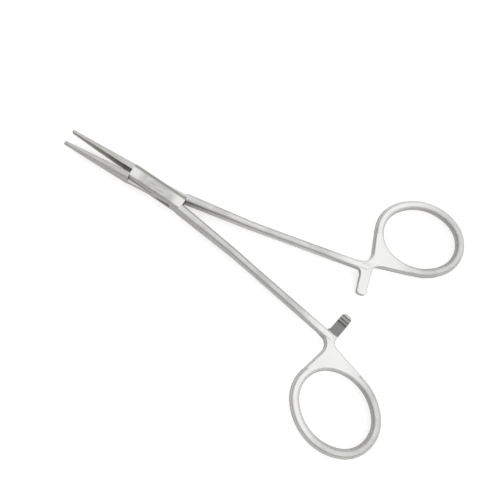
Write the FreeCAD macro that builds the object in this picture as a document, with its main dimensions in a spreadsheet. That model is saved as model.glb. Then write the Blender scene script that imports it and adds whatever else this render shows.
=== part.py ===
import FreeCAD, Part
import math
import os
import re

import Sketcher
from FreeCAD import Placement, Rotation, Vector

# Mosquito forceps: two forged halves that cross in a box lock and turn on one ground-off rivet.
# Millimetres and degrees. X runs along the length with the finger rings at +X, Z runs up the
# rivet, and the origin is the centre of the rivet's lower end, in the underside of the box lock.
# An arm is drawn in a frame of its own: x along its shank from the pivot, y outwards to its ring.

SIZES = [
    ("jaw_reach", 30.4, "pivot axis to the jaw tips"),
    ("jaw_root_depth", 2.42, "depth of a jaw from grip face to back, at the box"),
    ("jaw_root_height", 4.94, "height of a jaw at the box"),
    ("jaw_root_bevel", 0.7, "bevel along the jaw's back at the box"),
    ("jaw_tip_depth", 1.05, "depth of a jaw at the tip"),
    ("jaw_tip_height", 1.5, "height of a jaw at the tip"),
    ("jaw_tip_bevel", 0.42, "bevel along the jaw's back at the tip"),
    ("jaw_round", 0.45, "rounding of both edges of that bevel"),
    ("jaw_relief", 0.15, "how far the faces stand back between the box and the serrations"),
    ("grip_start", 11.5, "pivot axis to the first serration"),
    ("serration_pitch", 0.6, "spacing of the cross serrations"),
    ("serration_width", 0.5, "width of one serration groove"),
    ("serration_depth", 0.22, "depth of one serration groove"),
    ("serration_bite", 0.12, "how far closed serrations reach into each other"),
    ("box_radius", 9.0, "pivot axis to the shoulders of the box lock"),
    ("box_width", 4.8, "width of the box lock"),
    ("box_height", 5.0, "height of the box lock"),
    ("box_bevel", 0.7, "bevel along the four long edges of the box lock"),
    ("box_round", 0.45, "rounding of both edges of that bevel"),
    ("web_radius", 6.3, "pivot axis to the solid ends of the slot"),
    ("tongue_height", 1.9, "thickness of the tongue inside the box"),
    ("lock_clearance", 0.05, "running clearance all round the tongue"),
    ("pin_diameter", 2.2, "rivet"),
    ("pin_clearance", 0.04, "radial clearance of the rivet in the tongue"),
    ("root_overlap", 0.4, "how far jaws and shanks reach into the box"),
    ("shank_root_width", 2.6, "shank at the box"),
    ("shank_root_height", 4.6, "shank at the box"),
    ("shank_root_offset", 0.2, "shank centre line at the box, outwards of the pivot line"),
    ("shank_waist_reach", 30.0, "pivot axis to the narrowest part of the shank"),
    ("shank_waist_width", 2.4, "shank at its narrowest"),
    ("shank_waist_offset", -0.55, "shank centre line at its narrowest"),
    ("shank_low_reach", 38.0, "pivot axis to where the shank is down to its least height"),
    ("shank_low_height", 2.85, "least height of the shank"),
    ("shank_neck_width", 2.6, "shank at the ring"),
    ("shank_neck_height", 2.8, "shank at the ring"),
    ("shank_neck_offset", -0.4, "shank centre line at the ring"),
    ("shank_round", 0.85, "rounding of the shank's corners"),
    ("ring_reach", 81.55, "pivot axis to the ring's centre, along the shank"),
    ("ring_rise", 14.75, "shank line to the ring's centre, outwards"),
    ("ring_lean", 8.0, "turn of the ring's long axis from the shank line"),
    ("hole_length", 23.8, "finger hole, along"),
    ("hole_width", 19.0, "finger hole, across"),
    ("hole_end_radius", 8.2, "radius of the finger hole's two ends"),
    ("ring_height", 2.5, "thickness of the ring and of the web beside it"),
    ("ring_flat", 1.1, "width of the flat above and below on the ring's stock"),
    ("ring_swell", 0.92, "how far the ring's rounded sides stand out past those flats"),
    ("web_bevel", 0.55, "bevel along the web's edges"),
    ("neck_hollow", 3.4, "radius in the corner between shank and ring"),
    ("ratchet_back", 13.95, "ring's centre back to the ratchet bar, along the shank"),
    ("ratchet_width", 3.3, "width of the ratchet bar"),
    ("ratchet_length", 9.4, "shank line to the end of the ratchet bar, inwards"),
    ("ratchet_lean", 0.3, "how far the bar's end leans towards the ring"),
    ("ratchet_end_round", 1.15, "rounding of the bar's end"),
    ("ratchet_bevel", 0.3, "bevel along the bar's outer edges"),
    ("ratchet_hollow", 2.0, "radius in the corners at the foot of the bar"),
    ("ratchet_step", 2.0, "shank line to the step where the bar is thinned"),
    ("ratchet_gap", 0.12, "height between the toothed faces of the two bars"),
    ("tooth_count", 3, "teeth on each bar"),
    ("tooth_pitch", 1.1, "spacing of the ratchet teeth"),
    ("tooth_depth", 0.42, "depth of the ratchet teeth"),
    ("tooth_start", 0.75, "end of the bar to the first tooth"),
    ("closed_half_angle", 7.65, "each shank line from the middle, jaws closed"),
    ("open_half_angle", 3.25, "how far each half is turned open from closed"),
]

# Two measures that several forms share: the width of the ring's stock, seen from above, and the
# place of the ratchet bar along the shank.
STOCK = "(ring_flat + 2 * ring_swell)"
BAR = "(ring_reach - ratchet_back)"

ALIAS = re.compile(r"\b(" + "|".join(name for name, size, note in SIZES) + r")\b")


def make_sheet(doc):
    """The driving dimensions, one row each: name, number, note."""
    sheet = doc.addObject("Spreadsheet::Sheet", "Sizes")
    for row, (name, size, note) in enumerate(SIZES, start=1):
        sheet.set("A%d" % row, name)
        sheet.set("B%d" % row, str(size))
        sheet.set("C%d" % row, note)
        sheet.setAlias("B%d" % row, name)
    doc.recompute()
    return sheet


def linked(expression):
    """The expression with each dimension's name turned into a link to the sheet."""
    return ALIAS.sub(r"Sizes.\1", expression)


def bind(thing, **expressions):
    """Bind properties of an object to expressions of the dimensions."""
    for name, expression in expressions.items():
        thing.setExpression(name.replace("__", "."), linked(expression))


def value(sketch, expression):
    """The number that an expression of the dimensions has now."""
    found = sketch.evalExpression(linked(expression))
    return float(getattr(found, "Value", found))


def plane(body, role):
    return next(item for item in body.Origin.OriginFeatures if item.Role == role)


def new_sketch(body, name, role, height="0"):
    """A sketch on one of the body's own planes, lifted off it by an expression."""
    sketch = body.newObject("Sketcher::SketchObject", name)
    sketch.AttachmentSupport = [(plane(body, role), "")]
    sketch.MapMode = "FlatFace"
    bind(sketch, AttachmentOffset__Base__z=height)
    return sketch


def hold(sketch, line, end, x, y):
    """Hold one end of a line at a place given by two expressions."""
    for kind, expression in (("DistanceX", x), ("DistanceY", y)):
        size = value(sketch, expression)
        index = sketch.addConstraint(Sketcher.Constraint(kind, -1, 1, line, end, size))
        sketch.setExpression("Constraints[%d]" % index, linked(expression))


def arc_between(start, end, radius):
    """The shorter arc of a radius from start to end, turning left."""
    middle = (start + end) * 0.5
    chord = end - start
    left = Vector(-chord.y, chord.x, 0).normalize()
    centre = middle + left * math.sqrt(max(0, radius**2 - chord.Length**2 / 4))
    first = math.atan2(start.y - centre.y, start.x - centre.x)
    last = math.atan2(end.y - centre.y, end.x - centre.x)
    last += 2 * math.pi if last < first else 0
    return Part.ArcOfCircle(Part.Circle(centre, Vector(0, 0, 1), radius), first, last)


def outline(sketch, stops):
    """A closed outline, counterclockwise.

    Each stop is an x and a y expression, and the radius of the arc that leaves it, or None where
    a straight line leaves it.
    """
    places = [Vector(value(sketch, x), value(sketch, y), 0) for x, y, radius in stops]
    count = len(stops)
    for index, (x, y, radius) in enumerate(stops):
        start, end = places[index], places[(index + 1) % count]
        if radius is None:
            sketch.addGeometry(Part.LineSegment(start, end))
        else:
            sketch.addGeometry(arc_between(start, end, value(sketch, radius)))
    for index, (x, y, radius) in enumerate(stops):
        after = (index + 1) % count
        sketch.addConstraint(Sketcher.Constraint("Coincident", index, 2, after, 1))
        hold(sketch, index, 1, x, y)
        if radius is not None:
            size = value(sketch, radius)
            found = sketch.addConstraint(Sketcher.Constraint("Radius", index, size))
            sketch.setExpression("Constraints[%d]" % found, linked(radius))


def edges_where(shape, test):
    """The names of a shape's edges that pass a test."""
    return ["Edge%d" % (i + 1) for i, edge in enumerate(shape.Edges) if test(edge)]


def is_upright(edge):
    ends = [vertex.Point for vertex in edge.Vertexes]
    return len(ends) == 2 and math.dist(ends[0][:2], ends[1][:2]) < 1e-6


def runs_along(edge):
    """A test for edges that run along X for the most part."""
    return edge.BoundBox.XLength > 4 * (edge.BoundBox.YLength + edge.BoundBox.ZLength)


def is_level_at(height):
    """A test for edges that lie wholly at one height."""
    return lambda edge: (
        abs(edge.BoundBox.ZMin - height) < 1e-4 and abs(edge.BoundBox.ZMax - height) < 1e-4
    )


def stands_at(places):
    """A test for upright edges at any of some places in plan."""

    def test(edge):
        if not is_upright(edge):
            return False
        point = edge.Vertexes[0].Point
        return any(math.hypot(point.x - x, point.y - y) < 0.05 for x, y in places)

    return test


def round_edges(body, name, base, radius, test):
    """Fillet the edges of a feature that pass a test."""
    body.Document.recompute()
    fillet = body.newObject("PartDesign::Fillet", name)
    fillet.Base = (base, edges_where(base.Shape, test))
    bind(fillet, Radius=radius)
    body.Document.recompute()
    return fillet


def bevel_edges(body, name, base, size, test):
    """Chamfer the edges of a feature that pass a test."""
    body.Document.recompute()
    bevel = body.newObject("PartDesign::Chamfer", name)
    bevel.Base = (base, edges_where(base.Shape, test))
    bind(bevel, Size=size)
    body.Document.recompute()
    return bevel


def loft(body, name, sections):
    """A straight loft from one section sketch to the next."""
    solid = body.newObject("PartDesign::AdditiveLoft", name)
    solid.Profile = sections[0]
    solid.Sections = sections[1:]
    solid.Ruled = True
    return solid


def pad(body, name, sketch, height, centred):
    solid = body.newObject("PartDesign::Pad", name)
    solid.Profile = sketch
    bind(solid, Length=height)
    if centred:
        solid.SideType = "Symmetric"
    return solid


def jaw_section(body, name, reach, depth, height, bevel):
    """A section across a jaw: a flat grip face, and a back with both corners bevelled."""
    sketch = new_sketch(body, name, "YZ_Plane", "-(%s)" % reach)
    face = "serration_bite / 2"
    back = "(%s - (%s))" % (face, depth)
    inset = "(%s + %s)" % (back, bevel)
    top = "(%s / 2)" % height
    side = "(%s / 2 - %s)" % (height, bevel)
    outline(
        sketch,
        [
            (face, "-" + top, None),
            (face, top, None),
            (inset, top, None),
            (back, side, None),
            (back, "-" + side, None),
            (inset, "-" + top, None),
        ],
    )
    return sketch


def make_jaw(doc, name, phase):
    """A jaw that tapers from the box to its tip, with cross serrations on its grip face.

    It lies at -X with its back towards -Y, closed. The phase, in pitches, sets the serrations
    so that those of one jaw stand in the grooves of the other.
    """
    body = doc.addObject("PartDesign::Body", name)
    root = "(box_radius - root_overlap)"
    sections = [
        jaw_section(
            body, name + "_root", root, "jaw_root_depth", "jaw_root_height", "jaw_root_bevel"
        ),
        jaw_section(
            body, name + "_end", "jaw_reach", "jaw_tip_depth", "jaw_tip_height", "jaw_tip_bevel"
        ),
    ]
    blank = loft(body, name + "_blank", sections)
    doc.recompute()
    back = value(sections[1], "serration_bite / 2 - jaw_tip_depth / 3")
    rounded = round_edges(
        body,
        name + "_rounding",
        blank,
        "jaw_round",
        lambda edge: runs_along(edge) and edge.BoundBox.YMin < back,
    )

    relief = new_sketch(body, name + "_relief_outline", "XY_Plane")
    outline(
        relief,
        [
            ("-grip_start", "-jaw_relief", None),
            ("-box_radius / 2", "-jaw_relief", None),
            ("-box_radius / 2", "box_width", None),
            ("-grip_start", "box_width", None),
        ],
    )
    stand_back = pocket(body, name + "_relief", relief, rounded)

    groove = new_sketch(body, name + "_groove_outline", "XY_Plane")
    middle = "(-grip_start - %s * serration_pitch)" % phase
    mouth = "serration_bite / 2"
    spread = "(1 + %s / serration_depth)" % mouth
    outline(
        groove,
        [
            (middle, mouth + " - serration_depth", None),
            (middle + " + serration_width / 2 * " + spread, "serration_bite", None),
            (middle + " - serration_width / 2 * " + spread, "serration_bite", None),
        ],
    )
    first = pocket(body, name + "_groove", groove, stand_back)
    count = "(ceil((jaw_reach - grip_start) / serration_pitch) + 2)"
    repeat(body, name + "_serrations", first, "X_Axis", count, "serration_pitch")
    return body


def pocket(body, name, sketch, base):
    """Cut a sketch through the whole height, and check that it removed something."""
    before = base.Shape.Volume
    cut = body.newObject("PartDesign::Pocket", name)
    cut.Profile = sketch
    cut.Type = "ThroughAll"
    cut.Midplane = True
    body.Document.recompute()
    if cut.Shape.Volume > before - 1e-6:
        raise ValueError(name + " cut nothing")
    return cut


def repeat(body, name, feature, axis, count, pitch):
    """Repeat a cut at even steps against the direction of one of the body's axes."""
    row = body.newObject("PartDesign::LinearPattern", name)
    row.Originals = [feature]
    row.Direction = (plane(body, axis), [""])
    row.Reversed = True
    bind(row, Occurrences=count, Length="(%s - 1) * %s" % (count, pitch))
    body.Tip = row
    body.Document.recompute()
    return row


def ring_place(out, turn):
    """Expressions for a place on the ring: out from the edge of the finger hole, at an angle."""
    along = "((hole_length / 2 + %s) * %.6f)" % (out, math.cos(math.radians(turn)))
    across = "((hole_width / 2 + %s) * %.6f)" % (out, math.sin(math.radians(turn)))
    x = "(ring_reach + %s * cos(ring_lean) - %s * sin(ring_lean))" % (along, across)
    y = "(ring_rise + %s * sin(ring_lean) + %s * cos(ring_lean))" % (along, across)
    return x, y


def make_shank(doc, name):
    """A shank: it tapers in plan and in height from the box, and runs on into the ring."""
    body = doc.addObject("PartDesign::Body", name)
    root, end = "(box_radius - root_overlap)", BAR
    widths = [
        (root, "shank_root_offset", "shank_root_width"),
        ("shank_waist_reach", "shank_waist_offset", "shank_waist_width"),
        (end, "shank_neck_offset", "shank_neck_width"),
    ]
    plan = new_sketch(body, name + "_plan", "XY_Plane")
    inner = [(x, "%s - %s / 2" % (middle, width), None) for x, middle, width in widths]
    outer = [(x, "%s + %s / 2" % (middle, width), None) for x, middle, width in widths]
    outline(plan, inner + outer[::-1])
    bar = pad(body, name + "_bar", plan, "shank_root_height", True)
    heights = [
        (root, "shank_root_height"),
        ("shank_low_reach", "shank_low_height"),
        (end, "shank_neck_height"),
    ]
    for side, sign in (("above", ""), ("below", "-")):
        doc.recompute()
        waste = new_sketch(body, "%s_%s" % (name, side), "XZ_Plane")
        edge = [(x, "%s%s / 2" % (sign, height), None) for x, height in heights]
        edge += [(end, sign + "box_height", None), (root, sign + "box_height", None)]
        outline(waste, edge[:: 1 if side == "above" else -1])
        bar = pocket(body, "%s_taper_%s" % (name, side), waste, bar)
    round_edges(body, name + "_rounding", bar, "shank_round", runs_along)
    return body


def make_neck(doc, name):
    """The flat web that fills the corner between the shank, the ring and the ratchet bar."""
    body = doc.addObject("PartDesign::Body", name)
    sketch = new_sketch(body, name + "_outline", "XY_Plane")
    inner = "(shank_neck_offset - shank_neck_width / 2)"
    outer = "(shank_neck_offset + shank_neck_width / 2)"
    left = BAR + " - ratchet_width / 2"
    right = BAR + " + ratchet_width / 2"
    start = BAR + " - 3 * shank_neck_width"
    brow_x, brow_y = ring_place(STOCK + " * 0.97", 180)
    foot_x = "(%s + (%s - %s) * tan(ring_lean))" % (brow_x, brow_y, outer)
    heel = "(%s - web_bevel / 2)" % outer
    buried = [ring_place(STOCK + " * 0.55", turn) for turn in (262, 238, 213, 188)]
    stops = [
        (start, inner + " + web_bevel / 3", None),
        (left, inner, None),
        (left, "-ratchet_step", None),
        (right, "-ratchet_step", None),
        (right, heel, None),
        ring_place(STOCK + " * 0.97", 266) + (None,),
        *[place + (None,) for place in buried],
        (brow_x, brow_y, None),
        (foot_x, outer, None),
        (start, outer + " - web_bevel / 3", None),
    ]
    outline(sketch, stops)
    web = pad(body, name + "_web", sketch, "ring_height", True)
    corner = (value(sketch, foot_x), value(sketch, outer))
    toe = (value(sketch, right), value(sketch, heel))
    hollow = round_edges(body, name + "_hollow", web, "neck_hollow", stands_at([corner]))
    foot = round_edges(body, name + "_toe", hollow, "ratchet_hollow", stands_at([toe]))
    half = value(sketch, "ring_height / 2")
    inside = [(value(sketch, x), value(sketch, y)) for x, y in buried]

    def shows(edge):
        """A test for the web's edges above and below, apart from those inside the ring."""
        ends = [vertex.Point for vertex in edge.Vertexes]
        within = [any(math.dist(end[:2], place) < 0.05 for place in inside) for end in ends]
        return (is_level_at(half)(edge) or is_level_at(-half)(edge)) and not all(within)

    bevel_edges(body, name + "_bevel", foot, "web_bevel", shows)
    return body


def make_ratchet(doc, name):
    """The ratchet bar, above the middle, with its teeth on the lower face."""
    body = doc.addObject("PartDesign::Body", name)
    sketch = new_sketch(body, name + "_outline", "XY_Plane", "ratchet_gap / 2")
    inner = "(shank_neck_offset - shank_neck_width / 2)"
    outer = "(shank_neck_offset + shank_neck_width / 2)"
    left = "(%s - ratchet_width / 2)" % BAR
    right = "(%s + ratchet_width / 2)" % BAR
    inset = "ratchet_bevel / 2"
    foot = "ratchet_hollow * 1.4"
    stops = [
        ("%s - %s" % (left, foot), "%s + %s" % (inner, inset), None),
        (left, "%s + %s" % (inner, inset), None),
        (left + " + ratchet_lean", "-ratchet_length", None),
        (right + " + ratchet_lean", "-ratchet_length", None),
        (right, outer, None),
        ("%s + %s" % (right, foot), outer + " + ratchet_lean / 2", None),
        ("%s + %s" % (right, foot), outer + " + ratchet_width / 3", None),
        ("%s - %s" % (left, foot), outer + " - " + inset, None),
    ]
    outline(sketch, stops)
    bar = pad(body, name + "_bar", sketch, "(ring_height - ratchet_gap) / 2", False)
    corners = [(value(sketch, x), value(sketch, y)) for x, y, radius in stops]
    feet = stands_at([corners[1], corners[4]])
    ends = stands_at([corners[2], corners[3]])
    hollow = round_edges(body, name + "_hollow", bar, "ratchet_hollow", feet)
    end = round_edges(body, name + "_end", hollow, "ratchet_end_round", ends)
    top = value(sketch, "ring_height / 2")
    bevelled = bevel_edges(body, name + "_bevel", end, "ratchet_bevel", is_level_at(top))

    teeth = new_sketch(body, name + "_tooth_outline", "YZ_Plane", BAR)
    crest = "(-ratchet_length + tooth_start)"
    face = "(ratchet_gap / 2)"
    outline(
        teeth,
        [
            (crest, face + " - tooth_depth", None),
            (crest + " + tooth_pitch", face + " - tooth_depth", None),
            (crest + " + tooth_pitch * 0.92", face, None),
            (crest, face + " + tooth_depth", None),
        ],
    )
    first = pocket(body, name + "_tooth", teeth, bevelled)
    row = body.newObject("PartDesign::LinearPattern", name + "_teeth")
    row.Originals = [first]
    row.Direction = (plane(body, "Y_Axis"), [""])
    bind(row, Occurrences="tooth_count", Length="(tooth_count - 1) * tooth_pitch")
    body.Tip = row
    doc.recompute()
    return body


def ring_arc(doc, name, turn, reach, radius, sweep):
    """One arc of the ring: its stock, turned about a centre behind it, then turned about Z."""
    section = doc.addObject("Sketcher::SketchObject", name + "_section")
    section.Placement = Placement(Vector(), Rotation(Vector(1, 0, 0), 90))
    half, flat = "ring_height / 2", "ring_flat / 2"
    side = "((ring_height^2 / 4 + ring_swell^2) / (2 * ring_swell))"
    outline(
        section,
        [
            (flat, "-" + half, side),
            (flat, half, None),
            ("-" + flat, half, side),
            ("-" + flat, "-" + half, None),
        ],
    )
    bind(section, Placement__Base__x=reach)
    arc = doc.addObject("Part::Revolution", name)
    arc.Source = section
    arc.Axis = Vector(0, 0, 1)
    arc.Solid = True
    arc.Symmetric = True
    arc.Placement = Placement(Vector(), Rotation(Vector(0, 0, 1), turn))
    bind(arc, Base__x="%s - %s" % (reach, radius), Angle=sweep)
    return arc


def make_ring(doc, name):
    """The finger ring: rounded stock bent to an oval of four arcs that run into each other."""
    along = "((hole_length + %s) / 2)" % STOCK
    across = "((hole_width + %s) / 2)" % STOCK
    end = "(hole_end_radius + %s / 2)" % STOCK
    side = "((%s^2 + %s^2 - 2 * %s * %s) / (2 * (%s - %s)))" % (
        along,
        across,
        along,
        end,
        across,
        end,
    )
    half_sweep = "atan((%s - %s) / (%s - %s))" % (side, across, along, end)
    end_sweep = "2 * " + half_sweep
    side_sweep = "180 deg - 2 * " + half_sweep
    arcs = []
    for index, turn in enumerate((0, 180)):
        arcs.append(ring_arc(doc, "%s_end_%d" % (name, index), turn, along, end, end_sweep))
        turned = turn + 90
        arcs.append(ring_arc(doc, "%s_side_%d" % (name, index), turned, across, side, side_sweep))
    ring = fuse(doc, name, arcs)
    bind(
        ring,
        Placement__Base__x="ring_reach",
        Placement__Base__y="ring_rise",
        Placement__Rotation__Angle="ring_lean",
    )
    return ring


def fuse(doc, name, shapes):
    joined = doc.addObject("Part::MultiFuse", name)
    joined.Shapes = shapes
    joined.Refine = True
    return joined


def cut(doc, name, base, tool):
    left = doc.addObject("Part::Cut", name)
    left.Base = base
    left.Tool = tool
    left.Refine = True
    return left


def cylinder(doc, name, radius, low, high):
    """A cylinder on the pivot axis between two heights."""
    solid = doc.addObject("Part::Cylinder", name)
    bind(
        solid,
        Radius=radius,
        Height="%s - (%s)" % (high, low),
        Placement__Base__z=low,
    )
    return solid


def block(doc, name, x, y, z):
    """A box between the low and the high expression of each direction."""
    solid = doc.addObject("Part::Box", name)
    for letter, size, (low, high) in zip("xyz", ("Length", "Width", "Height"), (x, y, z)):
        solid.setExpression(size, linked("%s - (%s)" % (high, low)))
        solid.setExpression("Placement.Base." + letter, linked(low))
    return solid


def make_arm(doc, name):
    """A shank, its web, its ratchet bar and its ring as one piece."""
    return fuse(
        doc,
        name,
        [
            make_shank(doc, name + "_shank"),
            make_neck(doc, name + "_neck"),
            make_ratchet(doc, name + "_ratchet"),
            make_ring(doc, name + "_ring"),
        ],
    )


def make_box(doc, name):
    """The block of the box lock before its slot is cut: straight sides, ends round the pivot."""
    body = doc.addObject("PartDesign::Body", name)
    sketch = new_sketch(body, name + "_outline", "XY_Plane")
    side = "(box_width / 2)"
    end = "sqrt(box_radius^2 - box_width^2 / 4)"
    outline(
        sketch,
        [
            (end, "-" + side, "box_radius"),
            (end, side, None),
            ("-" + end, side, "box_radius"),
            ("-" + end, "-" + side, None),
        ],
    )
    solid = pad(body, name + "_block", sketch, "box_height", True)
    bevelled = bevel_edges(body, name + "_bevel", solid, "box_bevel", runs_along)
    round_edges(body, name + "_rounding", bevelled, "box_round", runs_along)
    return body


def make_tongue(doc, name):
    """The thin middle of the inner half: a round hub, with an arm to its jaw and one to its shank."""
    low, high = "-tongue_height / 2", "tongue_height / 2"
    side = "(box_width / 2)"
    reach = "(box_radius + root_overlap)"
    gap = "(lock_clearance / 2)"
    disc = cylinder(doc, name + "_disc", "web_radius - lock_clearance", low, high)
    strip = block(
        doc, name + "_strip", ("-" + reach, reach), ("-" + side, side), (low, high)
    )
    hub = doc.addObject("Part::Common", name + "_hub")
    hub.Base = disc
    hub.Tool = strip
    to_jaw = block(doc, name + "_to_jaw", ("-" + reach, "0"), ("-" + side, "-" + gap), (low, high))
    to_shank = block(doc, name + "_to_shank", ("0", reach), (gap, side), (low, high))
    return fuse(doc, name, [hub, to_jaw, to_shank])


def make_slot(doc, name):
    """What is cut from the box for the tongue: round its hub, and open on both sides."""
    low, high = "-(tongue_height / 2 + lock_clearance)", "tongue_height / 2 + lock_clearance"
    reach = "(box_radius + root_overlap)"
    gap = "(lock_clearance / 2)"
    hub = cylinder(doc, name + "_hub", "web_radius", low, high)
    at_jaw = block(doc, name + "_at_jaw", ("-" + reach, "0"), ("-box_width", gap), (low, high))
    at_shank = block(doc, name + "_at_shank", ("0", reach), ("-" + gap, "box_width"), (low, high))
    return fuse(doc, name, [hub, at_jaw, at_shank])


def turn_over(thing, angle):
    """Turn a piece over about X, then by an angle about Z: half a turn about an axis between."""
    thing.Placement = Placement(Vector(), Rotation(Vector(1, 0, 0), 180))
    bind(
        thing,
        Placement__Rotation__Axis__x="cos((%s) / 2)" % angle,
        Placement__Rotation__Axis__y="sin((%s) / 2)" % angle,
    )


def set_down(thing, angle):
    """Place a finished half at rest: turned open about the pivot, the box on the ground plane."""
    thing.Placement = Placement(Vector(), Rotation(Vector(0, 0, 1), 1))
    bind(thing, Placement__Rotation__Angle=angle, Placement__Base__z="box_height / 2")


def make_tongue_half(doc):
    """The inner half: it lies at +Y behind the lock and at -Y in front of it."""
    arm = make_arm(doc, "tongue_arm")
    bind(arm, Placement__Rotation__Angle="closed_half_angle")
    jaw = make_jaw(doc, "tongue_jaw", "0")
    ends = fuse(doc, "tongue_ends", [arm, jaw])
    shoulder = "(box_radius + lock_clearance)"
    half = "(tongue_height / 2)"
    above = cylinder(doc, "rebate_above", shoulder, half, "box_height")
    below = cylinder(doc, "rebate_below", shoulder, "-box_height", "-" + half)
    rebates = fuse(doc, "rebates", [above, below])
    shouldered = cut(doc, "shouldered_ends", ends, rebates)
    whole = fuse(doc, "tongue_blank", [shouldered, make_tongue(doc, "tongue")])
    bore = cylinder(
        doc, "tongue_bore", "pin_diameter / 2 + pin_clearance", "-box_height", "box_height"
    )
    half_piece = cut(doc, "tongue_half", whole, bore)
    set_down(half_piece, "open_half_angle")
    return half_piece


def make_box_half(doc):
    """The outer half: the box, slotted from side to side, with its jaw at +Y and its ring at -Y."""
    arm = make_arm(doc, "box_arm")
    turn_over(arm, "-closed_half_angle")
    jaw = make_jaw(doc, "box_jaw", "0.5")
    turn_over(jaw, "0")
    blank = fuse(doc, "box_blank", [arm, jaw, make_box(doc, "box")])
    bore = cylinder(doc, "box_bore", "pin_diameter / 2", "-box_height", "box_height")
    openings = fuse(doc, "box_openings", [make_slot(doc, "slot"), bore])
    half_piece = cut(doc, "box_half", blank, openings)
    set_down(half_piece, "-open_half_angle")
    return half_piece


def make_pin(doc):
    """The rivet, ground off level with the box above and below."""
    return cylinder(doc, "pivot_pin", "pin_diameter / 2", "0", "box_height")


def check(doc, pieces):
    """Stop if any object of the document failed, or a piece is not one valid solid."""
    for item in doc.Objects:
        if "Invalid" in item.State or "Error" in item.State:
            raise ValueError("%s is %s" % (item.Name, item.State))
    for piece in pieces:
        shape = piece.Shape
        if shape.isNull() or not shape.isValid() or len(shape.Solids) != 1:
            raise ValueError("%s is not one valid solid" % piece.Label)


def main():
    doc = FreeCAD.newDocument("MosquitoForceps")
    make_sheet(doc)
    pieces = [make_box_half(doc), make_tongue_half(doc), make_pin(doc)]
    doc.recompute()
    check(doc, pieces)
    os.makedirs("parts", exist_ok=True)
    for piece in pieces:
        piece.Shape.exportStep("parts/%s.step" % piece.Label)
        box = piece.Shape.BoundBox
        print("%s: %.1f mm3, %s" % (piece.Label, piece.Shape.Volume, box))


main()
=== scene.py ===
# %% [markdown]
# A mosquito forceps lies open on a white table. It is two forged stainless steel halves and
# one rivet, so nearly all of its looks are shape and finish. The shapes come with the packed
# frame. This lesson gives them their satin steel, adds the soft ends of the shanks' ridges, and
# sets the table, the camera and the light.

# %% the frame
import math

import bmesh
import bpy
import numpy as np
from mathutils import Matrix, Vector


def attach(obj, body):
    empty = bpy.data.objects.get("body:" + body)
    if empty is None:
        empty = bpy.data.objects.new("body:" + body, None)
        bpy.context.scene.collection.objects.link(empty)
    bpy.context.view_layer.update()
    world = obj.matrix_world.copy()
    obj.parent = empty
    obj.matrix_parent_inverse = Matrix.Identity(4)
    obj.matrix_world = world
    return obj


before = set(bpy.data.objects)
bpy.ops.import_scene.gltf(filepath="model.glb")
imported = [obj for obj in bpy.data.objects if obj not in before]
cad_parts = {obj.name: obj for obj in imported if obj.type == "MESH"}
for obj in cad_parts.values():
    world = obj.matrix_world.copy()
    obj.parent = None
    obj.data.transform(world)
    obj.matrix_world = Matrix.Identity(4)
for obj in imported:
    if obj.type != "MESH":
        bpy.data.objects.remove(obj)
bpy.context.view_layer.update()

# %% [markdown]
# Shader nodes could be made and linked one by one, but a pattern then takes a page of code.
# Here a small class wraps one output of a node and adds the Math node that an operator stands
# for, so that a pattern is written as a formula.

# %% shader maths


class Node:
    """One output of a node. Operators between outputs add Math nodes."""

    def __init__(self, tree, socket=None):
        self.tree, self.socket = tree, socket

    def add(self, kind, settings=(), output=0, **inputs):
        """A node of a kind: its settings first, then the values or links of its sockets.

        A socket goes by its name, with _ for a space, or by i and its number.
        """
        node = self.tree.nodes.new(kind)
        for name, setting in dict(settings).items():
            setattr(node, name, setting)
        for name, given in inputs.items():
            key = int(name[1:]) if name[0] == "i" and name[1:].isdigit() else name.replace("_", " ")
            put(self.tree, given, node.inputs[key])
        return Node(self.tree, node.outputs[output] if len(node.outputs) else None)

    def twin(self, output):
        """Another output of the same node."""
        return Node(self.tree, self.socket.node.outputs[output])

    def maths(self, operation, *values):
        sockets = {"i%d" % n: value for n, value in enumerate((self, *values))}
        return self.add("ShaderNodeMath", {"operation": operation}, **sockets)

    def __add__(self, other):
        return self.maths("ADD", other)

    def __sub__(self, other):
        return self.maths("SUBTRACT", other)

    def __mul__(self, other):
        return self.maths("MULTIPLY", other)

    def __rsub__(self, other):
        return (self * -1) + other

    def __abs__(self):
        return self.maths("ABSOLUTE")

    __radd__ = __add__
    __rmul__ = __mul__

    def between(self, low, high):
        """0 at low, 1 at high, a smooth rise from one to the other, and level outside."""
        settings = {"interpolation_type": "SMOOTHSTEP"}
        return self.add("ShaderNodeMapRange", settings, i0=self, i1=low, i2=high)

    def parts(self):
        """The x, y and z of a vector."""
        split = self.add("ShaderNodeSeparateXYZ", i0=self)
        return [split.twin(n) for n in range(3)]

    def turned(self, angle, scale=(1.0, 1.0, 1.0)):
        """The vector seen from axes that are turned by an angle about Z, and scaled."""
        back = (0.0, 0.0, -angle)
        return self.add("ShaderNodeMapping", Vector=self, Rotation=back, Scale=scale)

    def noise(self, scale, detail=3.0, roughness=0.6):
        """Noise at a number of features for each unit of the vector."""
        return self.add(
            "ShaderNodeTexNoise", Vector=self, Scale=scale, Detail=detail, Roughness=roughness
        )

    def mix(self, first, second):
        """The first colour where this mask is 0 and the second where it is 1."""
        return self.add(
            "ShaderNodeMix", {"data_type": "RGBA"}, output=2, i0=self, i6=first, i7=second
        )


# %% sockets and coordinates


def put(tree, given, socket):
    """Link a socket to a Node, or set it to a number, a vector or a colour."""
    if isinstance(given, Node):
        tree.links.new(given.socket, socket)
    elif socket.type == "RGBA":
        socket.default_value = (*given, 1.0)
    else:
        socket.default_value = given


def coordinates(owner, kind="Object"):
    """The coordinates in the emptied node tree of a material or a world."""
    owner.use_nodes = True
    owner.node_tree.nodes.clear()
    return Node(owner.node_tree).add("ShaderNodeTexCoord", output=kind)


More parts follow.
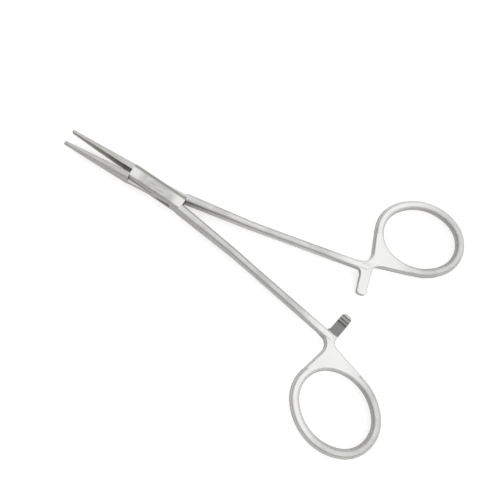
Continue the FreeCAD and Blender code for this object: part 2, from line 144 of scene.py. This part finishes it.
# %% [markdown]
# The steel is satin. Its upper and lower faces are ground and finely brushed. Its steep sides are
# rougher, and painted shade makes them darker. The webs and the ratchet bars are the brightest.
# The shanks are the dullest, but for a painted highlight along their crown, and the far part of
# the rings is a little dull too. A picture of brushed metal could be wrapped round the halves,
# but each face would have to be unwrapped first. Noise and masks on object coordinates need no
# unwrapping, and they stay on the metal in every pose.

# %% the tones and places of the steel
MM = 0.001
SATIN = (0.665, 0.665, 0.650)
DULL = (0.500, 0.500, 0.490)
BRIGHT = (0.770, 0.768, 0.758)
# Painted shade: the colour of the steep sides, and of the flanks of the shanks.
STEEP_SHADE = (0.365, 0.352, 0.342)
SHANK_FLANK_SHADE = (0.560, 0.550, 0.538)

# How far the jaws and the shanks lean from the frame's X axis.
JAW_TURN = math.radians(3.25)
SHANK_TURN = math.radians(10.9)

# Features per metre along the shank, across it and through it.
BRUSH_LINES = (350.0, 5200.0, 5200.0)
STREAK_LINES = (420.0, 2300.0, 2300.0)

# Places along the shank, measured from the rivet, and across it: each mask's 0 and its 1.
SHANK_MIDDLE, SHANK_REACH = 37 * MM, (26 * MM, 12 * MM)
# The crown line and its reach place a painted highlight along the shank.
CROWN_HIGHLIGHT_LINE, CROWN_HIGHLIGHT_REACH = -0.45 * MM, (0.9 * MM, 0.1 * MM)
WEB_START, WEB_END = (54 * MM, 64 * MM), (86 * MM, 74 * MM)
FAR_RING = (78 * MM, 88 * MM)

# How much a normal points up or down on a level face and on a steep side.
LEVEL, UPRIGHT = 0.95, 0.38
lean = [round(math.degrees(turn), 2) for turn in (JAW_TURN, SHANK_TURN)]
print("the jaws and the shanks lean", lean, "degrees")

# %% satin steel


def satin(place, ring_side, wear):
    """Colour, roughness and brush lines of satin steel.

    A face is satin where its share of dull is 0. Clouds and streaks add up to 0.35 each, the
    middle of the shank adds its wear, less 0.45 along the crown for a painted highlight, and the
    far ring adds 0.25.
    Steep sides get painted shade, which is paler on the flank of a shank where the shank is less
    worn. Roughness is 0.29, and more in the clouds and on steep sides, and the brush lines vary it
    by 0.07 both ways.
    """
    angle = ring_side * SHANK_TURN
    along, across = place.turned(angle).parts()[:2]
    normal = place.add("ShaderNodeNewGeometry", output="Normal")
    # Steep sides: a little rougher, and given painted shade below.
    steep = abs(normal.parts()[2]).between(LEVEL, UPRIGHT)
    clouds = place.noise(170.0, 4.0).between(0.38, 0.68)
    lines = place.turned(angle, BRUSH_LINES).noise(1.0, 3.0, 0.7)
    streaks = place.turned(angle, STREAK_LINES).noise(1.0).between(0.35, 0.70)
    middle = abs(along - SHANK_MIDDLE).between(*SHANK_REACH)
    # A painted highlight along the crown of the shank, which lowers its share of dull.
    crown = abs(across - ring_side * CROWN_HIGHLIGHT_LINE).between(*CROWN_HIGHLIGHT_REACH)
    web = along.between(*WEB_START) * along.between(*WEB_END)
    ring = along.between(*FAR_RING)
    dull = clouds * 0.35 + streaks * 0.35 + middle * wear - middle * crown * 0.45 + ring * 0.25
    face = web.mix(dull.mix(SATIN, DULL), BRIGHT)
    # Painted shade for steep sides, paler on the middle of a less worn shank.
    flank = (middle * (1.1 - wear)).mix(STEEP_SHADE, SHANK_FLANK_SHADE)
    rough = clouds * 0.08 + (lines - 0.5) * 0.14 + steep * 0.10 + 0.29
    return steep.mix(face, flank), rough, lines


def finish(place, colour, rough, lines):
    """A metal surface from a colour, a roughness and brush lines, which are bumps on it."""
    bump = place.add("ShaderNodeBump", Strength=0.2, Distance=0.02 * MM, Height=lines)
    metal = place.add(
        "ShaderNodeBsdfPrincipled", Metallic=1.0, Base_Color=colour, Roughness=rough, Normal=bump
    )
    place.add("ShaderNodeOutputMaterial", Surface=metal)


# %% [markdown]
# The flat plates of the box lock are handled and wiped more than the rest. Their middle is
# mottled, on the rivet too. Their two ends get a painted highlight, and one long edge gets
# painted shade. The mottling and the painted light could be painted by hand. Masks made from
# the plates' own sizes do it in a few lines.

# %% the plates of the box lock
MOTTLED = (0.440, 0.435, 0.420)
# Painted light: a painted highlight on the plates' two ends, then painted shade on a long edge.
END_HIGHLIGHT = (0.760, 0.760, 0.730)
SHADED = (0.320, 0.322, 0.305)

# Half the height of the box lock, in mm, which is also the height of the forging's middle plane.
HALF_HEIGHT = 2.5

# Distances from the rivet along the box, across it, and up or down from its middle plane.
BOX_END, MOTTLED_END = (9.2 * MM, 8.9 * MM), (7.4 * MM, 4.8 * MM)
SHADED_EDGE, EDGE_BEVEL = (0.9 * MM, 1.5 * MM), (1.7 * MM, 1.9 * MM)
PLATE_FACE = (2.2 * MM, 2.45 * MM)


def mottling(place):
    """Irregular blots, a little longer along the plates than across."""
    blots = place.turned(-JAW_TURN, (0.4, 1.0, 1.0)).noise(1500.0, 5.0, 0.7)
    return blots.between(0.30, 0.75)


def plate_mottling_and_light(place, along, across, height, colour):
    """The colour with the plates' mottled middle, a painted highlight on their ends and painted
    shade on one long edge.
    """
    level = abs(height - HALF_HEIGHT * MM)
    box = abs(along).between(*BOX_END)
    # Painted shade on one long edge of the box.
    edge = across.between(*SHADED_EDGE) * level.between(*EDGE_BEVEL) * box
    face = box * level.between(*PLATE_FACE)
    middle = abs(along).between(*MOTTLED_END) * face
    colour = (mottling(place) * middle).mix(colour, MOTTLED)
    # The plates' ends take a painted highlight, and the long edge takes painted shade.
    return edge.mix((face - middle).mix(colour, END_HIGHLIGHT), SHADED)


# %% [markdown]
# Two places on each half were cut and never polished: the serrated grip face of its jaw and the
# toothed face of its ratchet bar. They are dull and dark grey, and painted shade darkens them
# further: the teeth are darkest towards the root of the bar and lighter towards its tip. The
# imported mesh is plain triangles without names, so a second material on chosen faces would mean
# searching for them. A mask in the jaw's axes, and one in those of the shank, find the two
# places instead.

# %% the two halves
# The grip face: partly its own dull dark grey, partly painted shade.
GRIP_DARK_AND_SHADE = (0.400, 0.385, 0.360)
# The teeth: their own dull grey, with painted shade that is darkest at the bar's root.
TEETH_DARK_AND_SHADE = (0.280, 0.280, 0.276)
TEETH_TIP = (0.580, 0.580, 0.570)
GRIP_FACE, JAW_ROOT = (0.24 * MM, 0.16 * MM), (-8.9 * MM, -9.2 * MM)
BAR_ROOT, BAR_START = (1.9 * MM, 2.1 * MM), (60 * MM, 62 * MM)
BAR_TIP = (5 * MM, 9 * MM)


def half_steel(name, ring_side, teeth, wear):
    """Satin steel of one half: its ring's side, the heights its teeth fade over, its wear."""
    material = bpy.data.materials.new(name)
    place = coordinates(material)
    along_jaw, across_jaw = place.turned(ring_side * JAW_TURN).parts()[:2]
    along_shank, across_shank, height = place.turned(ring_side * SHANK_TURN).parts()
    colour, rough, lines = satin(place, ring_side, wear)
    # The grip face: its own dull dark grey, with painted shade on it.
    grip = (across_jaw * -ring_side).between(*GRIP_FACE) * along_jaw.between(*JAW_ROOT)
    inward = across_shank * -ring_side
    bar = inward.between(*BAR_ROOT) * along_shank.between(*BAR_START) * height.between(*teeth)
    # Painted shade on the teeth, darkest at the root of the bar and lighter towards its tip.
    toothed = inward.between(*BAR_TIP).mix(TEETH_DARK_AND_SHADE, TEETH_TIP)
    colour = bar.mix(grip.mix(colour, GRIP_DARK_AND_SHADE), toothed)
    if ring_side < 0:
        colour = plate_mottling_and_light(place, along_jaw, across_jaw, height, colour)
    finish(place, colour, rough + grip * 0.2 + bar * 0.22, lines)
    return material


# %% [markdown]
# The rivet was ground off level with the plates, so only its two round ends show. It could share
# the outer half's material, but that would take its masks along. It gets the same steel and
# mottling without them.

# %% the steel on the three pieces


def rivet_steel(name):
    """Satin steel, a little duller, for the ground-off ends of the rivet."""
    material = bpy.data.materials.new(name)
    place = coordinates(material)
    colour, rough, lines = satin(place, 0, 0.0)
    finish(place, mottling(place).mix(colour, MOTTLED), rough + 0.05, lines)
    return material


steels = {
    "box_half": half_steel("steel_outer_half", -1, teeth=(1.6 * MM, 1.9 * MM), wear=0.9),
    "tongue_half": half_steel("steel_inner_half", 1, teeth=(3.4 * MM, 3.1 * MM), wear=0.5),
    "pivot_pin": rivet_steel("steel_rivet"),
}
for node, steel in steels.items():
    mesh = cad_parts[node].data
    mesh.materials.clear()
    mesh.materials.append(steel)
    print(node, len(mesh.polygons), "triangles in", steel.name)

# %% [markdown]
# The ridge of each shank doesn't stop dead at the ratchet bar. It bends along the neck towards
# the ring and fades into the web there, on both faces of the forging. The solid could carry it,
# but it is only 0.15 mm high. A small body carried along a curve is enough, and its height can
# fade by a formula.

# %% the shape of a run-out
# Sizes in mm: x along the shank and y outwards, in the axes of the shank.
RIDGE_PATH = np.array([(67.5, -0.40), (68.3, -0.30), (69.6, 2.20)])
RIDGE_HALF_WIDTH, RIDGE_TAPER = 0.93, 0.63
WEB_FACE, RIDGE_RISE = 3.75, 0.146
RIM_SUNK, FOOT_SUNK = 0.005, 0.2


def tail_points(side, rows=12, columns=12):
    """Points of one tail in the axes of its shank, in mm: a curved upper sheet, then a lower one.

    s goes from 0 to 1 along a Bezier curve and t from -1 to 1 across it. The half width is
    RIDGE_HALF_WIDTH less RIDGE_TAPER times s, and the height over the web is RIDGE_RISE times
    (1 - s)^2 (1 + 2 s) (1 - t^6). side is 1 for the upper face and -1 for the lower one.
    """
    s, t = np.meshgrid(np.linspace(0, 1, rows + 1), np.linspace(-1, 1, columns + 1), indexing="ij")
    first, second, third = RIDGE_PATH
    weights = (1 - s) ** 2, 2 * s * (1 - s), s**2
    path = sum(weight[..., None] * point for weight, point in zip(weights, RIDGE_PATH))
    forward = (1 - s)[..., None] * (second - first) + s[..., None] * (third - second)
    forward /= np.linalg.norm(forward, axis=2, keepdims=True)
    left = np.stack([-forward[..., 1], forward[..., 0]], axis=2)
    flat = path + left * ((RIDGE_HALF_WIDTH - RIDGE_TAPER * s) * t)[..., None]
    rise = RIDGE_RISE * (1 - s) ** 2 * (1 + 2 * s) * (1 - t**6)
    sheets = WEB_FACE - RIM_SUNK + rise, np.full_like(rise, WEB_FACE - FOOT_SUNK)
    heights = [HALF_HEIGHT + side * (sheet - HALF_HEIGHT) for sheet in sheets]
    return np.stack([np.dstack([flat, height]) for height in heights])


def sheet_faces(rows, columns):
    """Quads of the two sheets of a tail and of the wall round them."""
    index = np.arange(2 * (rows + 1) * (columns + 1)).reshape(2, rows + 1, columns + 1)
    quads = []
    for sheet in index:
        corners = sheet[:-1, :-1], sheet[1:, :-1], sheet[1:, 1:], sheet[:-1, 1:]
        quads += np.stack(corners, axis=2).reshape(-1, 4).tolist()
    upper, lower = (
        np.concatenate([sheet[0, :-1], sheet[:-1, -1], sheet[-1, :0:-1], sheet[:0:-1, 0]])
        for sheet in index
    )
    wall = np.stack([upper, np.roll(upper, -1), np.roll(lower, -1), lower], axis=1)
    return quads + wall.tolist()


print("a tail has", tail_points(1).reshape(-1, 3).shape[0], "points")

# %% [markdown]
# Each half has two tails, one on each face. Mirroring turns some of their faces inside out, so
# the normals are worked out again. The tails ride on the body of their half and wear its steel.

# %% the run-outs of the shanks


def shown(name, data):
    """A new object in the scene's collection."""
    item = bpy.data.objects.new(name, data)
    bpy.context.scene.collection.objects.link(item)
    return item


def outward(mesh):
    """Turn the faces of a closed mesh outwards."""
    loose = bmesh.new()
    loose.from_mesh(mesh)
    bmesh.ops.recalc_face_normals(loose, faces=loose.faces)
    loose.to_mesh(mesh)
    loose.free()


def run_outs(name, ring_side, body, steel):
    """The two tails of one half, turned from the axes of the shank to those of the frame."""
    tails = np.stack([tail_points(side) for side in (1, -1)])
    sheets, rows, columns = tails.shape[1:4]
    quads = np.array(sheet_faces(rows - 1, columns - 1))
    quads = np.concatenate([quads, quads + sheets * rows * columns])
    x, y, z = tails.reshape(-1, 3).T * MM
    turned_x = x * math.cos(SHANK_TURN) - y * math.sin(SHANK_TURN)
    turned_y = x * math.sin(SHANK_TURN) + y * math.cos(SHANK_TURN)
    corners = np.column_stack([turned_x, ring_side * turned_y, z])
    mesh = bpy.data.meshes.new(name)
    mesh.from_pydata(corners.tolist(), [], quads.tolist())
    outward(mesh)
    mesh.shade_smooth()
    mesh.set_sharp_from_angle(angle=math.radians(40))
    mesh.materials.append(steel)
    item = shown(name, mesh)
    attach(item, body)
    print(name, len(mesh.polygons), "quads on", body)


run_outs("ridge_ends_outer", -1, "outer_half", steels["box_half"])
run_outs("ridge_ends_inner", 1, "inner_half", steels["tongue_half"])

# %% [markdown]
# The table is one large white sheet. It carries the soft shadow that tells the eye that the
# instrument lies on it. A low white wall stands far round it, so that a view from the side has
# a white background too. More light would also make them white, but would wash out the metal.
# Their glow is seen only by the camera and by what the metal mirrors, and lights nothing else.

# %% the table
# Sizes of the set in metres. MIDDLE is near the middle of the instrument.
MIDDLE = (0.03, 0.0, 0.0)
TABLE_HALF, TABLE_TOP = 3.0, -0.02 * MM


def lit_white(name, strength):
    """White that glows a little for the camera and the metal, and keeps shadows on it."""
    material = bpy.data.materials.new(name)
    place = coordinates(material)
    white = place.add("ShaderNodeBsdfDiffuse", Color=(0.86, 0.86, 0.86))
    rays = place.add("ShaderNodeLightPath", output="Is Camera Ray")
    seen = rays + rays.twin("Is Glossy Ray") + rays.twin("Is Transmission Ray")
    glow = place.add("ShaderNodeEmission", Color=(1.0, 1.0, 1.0), Strength=seen * strength)
    both = place.add("ShaderNodeAddShader", i0=white, i1=glow)
    place.add("ShaderNodeOutputMaterial", Surface=both)
    return material


def staged(name, corners, faces, material):
    """A mesh of the set, from corners in metres round the middle of the instrument."""
    mesh = bpy.data.meshes.new(name)
    mesh.from_pydata((np.asarray(corners, float) + MIDDLE).tolist(), [], faces)
    mesh.materials.append(material)
    shown(name, mesh)
    print(name, len(mesh.polygons), "faces in", material.name)


signs = np.array([(-1, -1), (1, -1), (1, 1), (-1, 1)])
square = np.insert(signs * TABLE_HALF, 2, TABLE_TOP, axis=1)
staged("table", square, [(0, 1, 2, 3)], lit_white("table_white", 0.5))

# %% the far wall
# Its corners: x and y are the cosine and the sine of the turn, times the radius.
WALL_RADIUS, WALL_HEIGHT, WALL_SIDES = 2.9, 0.58, 48
turns = np.arange(WALL_SIDES) * 2 * math.pi / WALL_SIDES
circle = np.column_stack([np.cos(turns), np.sin(turns)]) * WALL_RADIUS
wall = np.vstack([np.insert(circle, 2, height, axis=1) for height in (TABLE_TOP, WALL_HEIGHT)])
here = np.arange(WALL_SIDES)
following = np.roll(here, -1)
panels = np.column_stack([here, following, following + WALL_SIDES, here + WALL_SIDES])
staged("backdrop", wall, panels.tolist(), lit_white("backdrop_white", 1.0))

# %% [markdown]
# The camera stands where the photograph was taken. It could be moved by eye until the picture
# fits. Here its pose is worked out from a few measured values, fitted to the rings, the lock and
# the jaws: nearly overhead, tipped 17.7 degrees, with a view of 39.3 degrees across.

# %% the camera's place
# Sizes in the picture are in pixels. The camera's axes point right, down and away.
FOCAL, PICTURE_SIDE = 700.0, 500.0
RIVET_IN_PICTURE = np.array([157.3, 189.2])
PIXEL_AT_RIVET = 0.298 * MM
UP_SEEN = np.array([0.1734, -0.2494, -0.9527])
PLANE_TURN = math.radians(29.1)

right = np.array([1.0, 0.0, 0.0]) - UP_SEEN * UP_SEEN[0]
right /= np.linalg.norm(right)
down = np.cross(UP_SEEN, right)
down *= math.copysign(1.0, down[1])
x_seen = math.cos(PLANE_TURN) * right + math.sin(PLANE_TURN) * down
world_to_camera = np.column_stack([x_seen, np.cross(UP_SEEN, x_seen), UP_SEEN])
distance = FOCAL * PIXEL_AT_RIVET
rivet_seen = np.append((RIVET_IN_PICTURE - PICTURE_SIDE / 2) / FOCAL * distance, distance)
camera_place = np.array([0.0, 0.0, HALF_HEIGHT * MM]) - world_to_camera.T @ rivet_seen
print("camera at", np.round(camera_place, 4))

# %% the camera
camera_data = bpy.data.cameras.new("camera")
camera_data.lens_unit = "MILLIMETERS"
camera_data.sensor_width = 36.0
camera_data.lens = FOCAL / PICTURE_SIDE * camera_data.sensor_width
camera_data.clip_start = 0.01
camera = shown("camera", camera_data)

# Blender's camera looks along its own -Z with Y up, so two of the axes are turned round.
to_world = world_to_camera.T @ np.diag([1.0, -1.0, -1.0])
turn = Matrix(to_world.tolist()).to_4x4()
camera.matrix_world = Matrix.Translation(Vector(camera_place)) @ turn
bpy.context.scene.camera = camera
print("lens", round(camera_data.lens, 1), "mm")

# %% [markdown]
# The light is a soft studio: a sky that is bright overhead and towards the right of the picture
# and falls off to the left, so that round metal shows a dark flank there, and one large lamp.
# A studio photograph could light it as a whole, but a fade between two levels is enough here.

# %% the light


def picture_direction(x, y, z):
    """A direction in the scene from the picture's right, down and away axes."""
    return Vector(world_to_camera.T @ np.array((x, y, z), float)).normalized()


def lamp(name, direction, distance, size, power):
    """A square lamp aimed at the instrument from a direction."""
    data = bpy.data.lights.new(name, "AREA")
    data.size = size
    data.energy = power
    item = shown(name, data)
    item.location = Vector(MIDDLE) + direction * distance
    item.rotation_euler = direction.to_track_quat("Z", "Y").to_euler()
    print(name, "from", tuple(round(part, 2) for part in direction))


def studio_sky(brightest, low, high):
    """A world that fades from high at its brightest direction to low behind it."""
    world = bpy.data.worlds.new("studio")
    bpy.context.scene.world = world
    towards = coordinates(world, "Generated")
    dot = {"operation": "DOT_PRODUCT"}
    near = towards.add("ShaderNodeVectorMath", dot, "Value", i0=towards, i1=tuple(brightest))
    level = near.between(-0.1, 0.9) * (high - low) + low
    sky = towards.add("ShaderNodeBackground", Color=(1.0, 1.0, 1.0), Strength=level)
    towards.add("ShaderNodeOutputWorld", Surface=sky)
    print("studio brightest from", tuple(round(part, 2) for part in brightest))


studio_sky(picture_direction(0.45, -0.3, -1.0), low=0.14, high=0.90)
lamp("soft_lamp", picture_direction(0.7, -0.5, -1.0), distance=0.9, size=0.8, power=0.6)
bpy.context.scene.view_settings.view_transform = "Standard"
